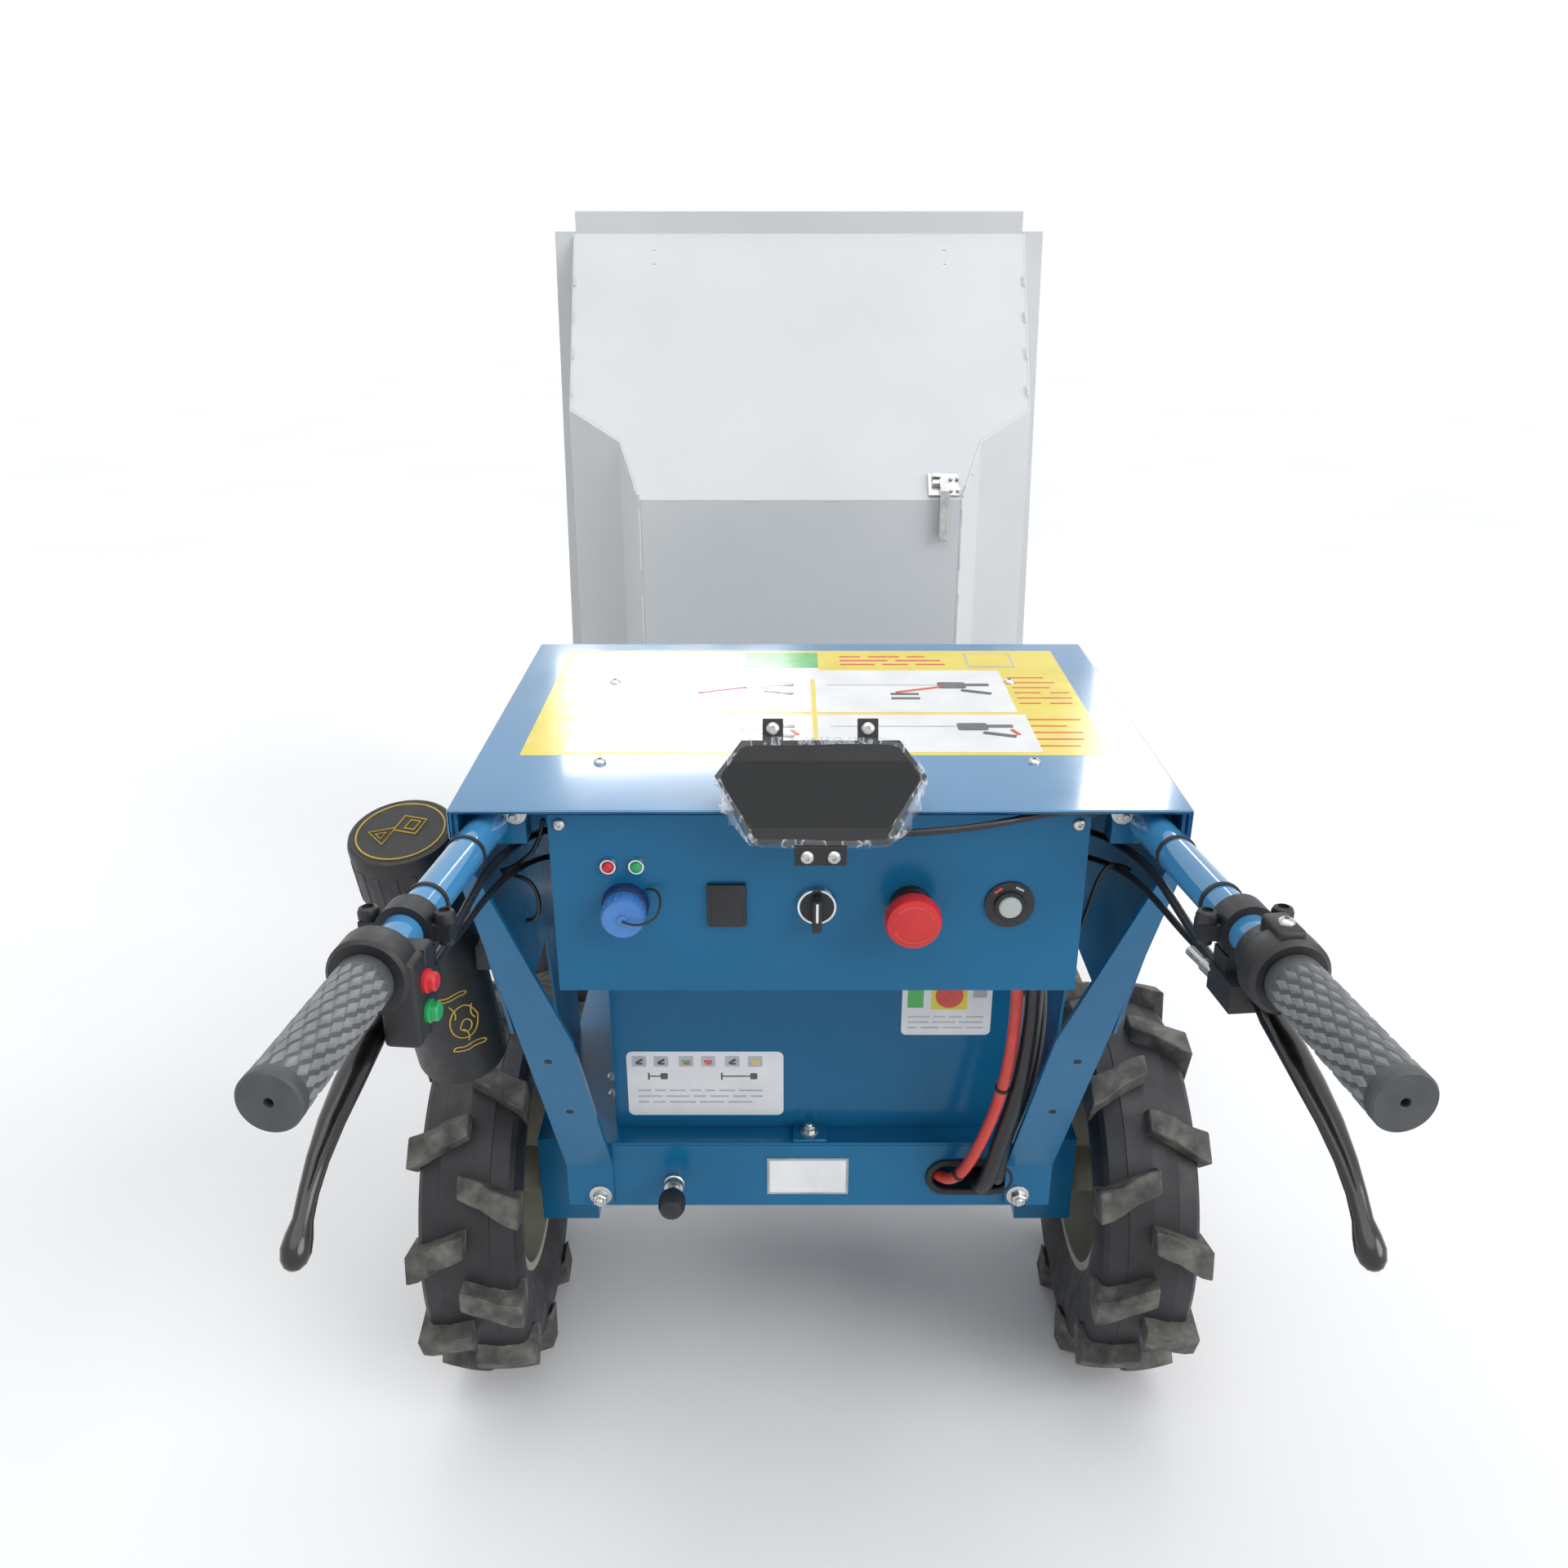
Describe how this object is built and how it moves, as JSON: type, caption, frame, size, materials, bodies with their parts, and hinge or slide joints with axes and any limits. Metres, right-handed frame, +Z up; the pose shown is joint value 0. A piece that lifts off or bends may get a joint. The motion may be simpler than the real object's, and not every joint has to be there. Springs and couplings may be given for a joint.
{
  "type": "mini dumper",
  "caption": "Electric walk-behind wheeled dumper with steel frame, console, handlebars and a forward-tipping skip that is stored tipped.",
  "frame": {"origin": "on the ground under the centre of the machine's box with the skip tipped", "axes": "+Y forward in the direction of travel, +X to the operator's right, +Z up"},
  "size_m": [0.794, 1.8386, 1.1914],
  "materials": {
    "blue_paint": "gloss powder coat",
    "skip_paint": "satin powder coat",
    "rim_paint": "satin paint",
    "tyre_rubber": "matt, dusty lugs",
    "rubber_parts": "matt",
    "grip_rubber": "matt, moulded pattern",
    "black_plastic": "fine grain",
    "black_lever": "satin coat",
    "motor_black": "satin",
    "cast_grey": "cast, painted",
    "zinc_plate": "bright zinc",
    "chrome_ring": "polished",
    "blue_plastic": "satin",
    "red_plastic": "satin",
    "green_plastic": "satin",
    "red_sheath": "satin sheath",
    "black_sheath": "satin sheath",
    "clear_film": "thin wrinkled film",
    "label_white": "printed film",
    "label_colour": "printed film"
  },
  "bodies": {
    "chassis": {"chassis_rail_left": "blue_paint", "chassis_rail_right": "blue_paint", "rear_beam": "blue_paint", "front_beam": "blue_paint", "deck_plate": "blue_paint", "skip_rest": "blue_paint", "tip_stops": "rubber_parts", "pivot_brackets": "blue_paint", "pivot_pins": "zinc_plate", "rear_wheel_mounts": "blue_paint", "front_wheel_mounts": "blue_paint", "rear_axle": "cast_grey", "drive_motor": "motor_black", "front_axle": "cast_grey", "battery_box": "blue_paint", "battery": "black_plastic", "console_box": "blue_paint", "control_panel": "blue_paint", "cover": "blue_paint", "side_plate_left": "blue_paint", "side_plate_right": "blue_paint", "strut_left": "blue_paint", "strut_right": "blue_paint", "handle_left": "blue_paint", "handle_right": "blue_paint", "grip_left": "grip_rubber", "grip_right": "grip_rubber", "switch_pod": "black_plastic", "throttle_pod": "black_plastic", "lever_clamps": "black_lever", "brake_lever_left": "black_lever", "brake_lever_right": "black_lever", "display": "black_plastic", "charging_socket": "blue_plastic", "rocker_switch": "black_plastic", "key_switch": "chrome_ring", "emergency_stop": "red_plastic", "reset_button": "black_plastic", "indicator_lamps": "chrome_ring", "pull_knob": "black_plastic", "document_tube": "black_plastic", "document_tube_lid": "black_plastic", "red_cable": "red_sheath", "black_cables": "black_sheath", "control_cables": "black_sheath"},
    "skip": {"skip_floor": "skip_paint", "skip_front": "skip_paint", "skip_rear_wall": "skip_paint", "skip_side_left": "skip_paint", "skip_side_right": "skip_paint", "skip_hinges": "skip_paint", "skip_latch": "zinc_plate"},
    "wheel_rear_left": {"tyre_rear_left": "tyre_rubber", "rim_rear_left": "rim_paint"},
    "wheel_rear_right": {"tyre_rear_right": "tyre_rubber", "rim_rear_right": "rim_paint"},
    "wheel_front_left": {"tyre_front_left": "tyre_rubber", "rim_front_left": "rim_paint"},
    "wheel_front_right": {"tyre_front_right": "tyre_rubber", "rim_front_right": "rim_paint"}
  },
  "joints": [
    {"name": "skip_tip", "type": "hinge", "parent": "chassis", "child": "skip", "pos_m": [0, 0.51239, 0.455], "axis": [1, 0, 0], "range_deg": [0, 92]},
    {"name": "rear_left_wheel_turn", "type": "hinge", "parent": "chassis", "child": "wheel_rear_left", "pos_m": [-0.336, -0.23011, 0.2075], "axis": [1, 0, 0], "continuous": true},
    {"name": "rear_right_wheel_turn", "type": "hinge", "parent": "chassis", "child": "wheel_rear_right", "pos_m": [0.336, -0.23011, 0.2075], "axis": [1, 0, 0], "continuous": true},
    {"name": "front_left_wheel_turn", "type": "hinge", "parent": "chassis", "child": "wheel_front_left", "pos_m": [-0.336, 0.36989, 0.2075], "axis": [1, 0, 0], "continuous": true},
    {"name": "front_right_wheel_turn", "type": "hinge", "parent": "chassis", "child": "wheel_front_right", "pos_m": [0.336, 0.36989, 0.2075], "axis": [1, 0, 0], "continuous": true}
  ]
}
